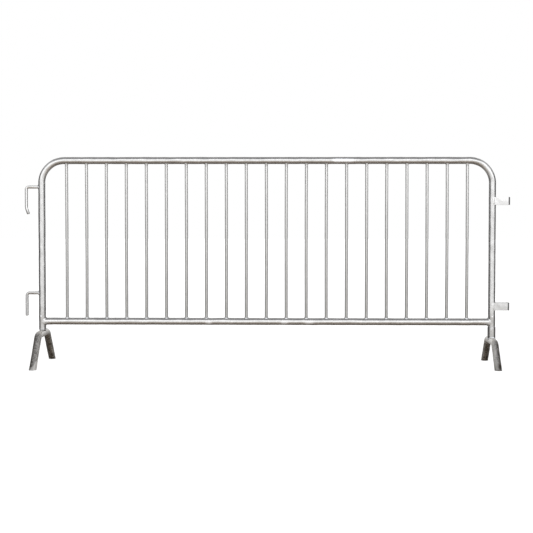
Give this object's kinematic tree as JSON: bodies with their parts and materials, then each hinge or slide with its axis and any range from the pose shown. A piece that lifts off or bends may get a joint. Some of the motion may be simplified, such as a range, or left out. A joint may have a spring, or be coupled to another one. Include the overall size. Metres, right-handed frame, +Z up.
{
  "type": "crowd control barrier",
  "caption": "Galvanised tubular crowd control barrier with vertical infill bars, rod hooks at one end, strap loops at the other and arched feet that swivel under its posts.",
  "frame": {"origin": "on the ground, at the middle of the space the whole barrier takes up", "axes": "+X along the barrier from the hooks to the loops, +Y across it to the back, +Z up"},
  "size_m": [2.587, 0.6042, 1.11],
  "materials": {
    "frame_zinc": "hot-dip galvanised, dull grey with bright zinc patches",
    "infill_zinc": "hot-dip galvanised, fine dull grey mottling",
    "fitting_zinc": "hot-dip galvanised, bright",
    "foot_zinc": "hot-dip galvanised, weathered darker grey"
  },
  "bodies": {
    "frame": {"frame_tube": "frame_zinc", "bottom_rail": "frame_zinc", "infill_bar_01": "infill_zinc", "infill_bar_02": "infill_zinc", "infill_bar_03": "infill_zinc", "infill_bar_04": "infill_zinc", "infill_bar_05": "infill_zinc", "infill_bar_06": "infill_zinc", "infill_bar_07": "infill_zinc", "infill_bar_08": "infill_zinc", "infill_bar_09": "infill_zinc", "infill_bar_10": "infill_zinc", "infill_bar_11": "infill_zinc", "infill_bar_12": "infill_zinc", "infill_bar_13": "infill_zinc", "infill_bar_14": "infill_zinc", "infill_bar_15": "infill_zinc", "infill_bar_16": "infill_zinc", "infill_bar_17": "infill_zinc", "infill_bar_18": "infill_zinc", "infill_bar_19": "infill_zinc", "infill_bar_20": "infill_zinc", "infill_bar_21": "infill_zinc", "upper_hook": "fitting_zinc", "lower_hook": "fitting_zinc", "upper_loop": "fitting_zinc", "lower_loop": "fitting_zinc"},
    "left_foot": {"left_foot": "foot_zinc", "left_foot_spigot": "foot_zinc"},
    "right_foot": {"right_foot": "foot_zinc", "right_foot_spigot": "foot_zinc", "right_foot_collar": "foot_zinc"}
  },
  "joints": [
    {"name": "left_foot_swivel", "type": "hinge", "parent": "frame", "child": "left_foot", "pos_m": [-1.2025, 0, 0.2], "axis": [0, 0, 1], "continuous": true},
    {"name": "right_foot_swivel", "type": "hinge", "parent": "frame", "child": "right_foot", "pos_m": [1.1995, 0, 0.2], "axis": [0, 0, 1], "continuous": true}
  ]
}
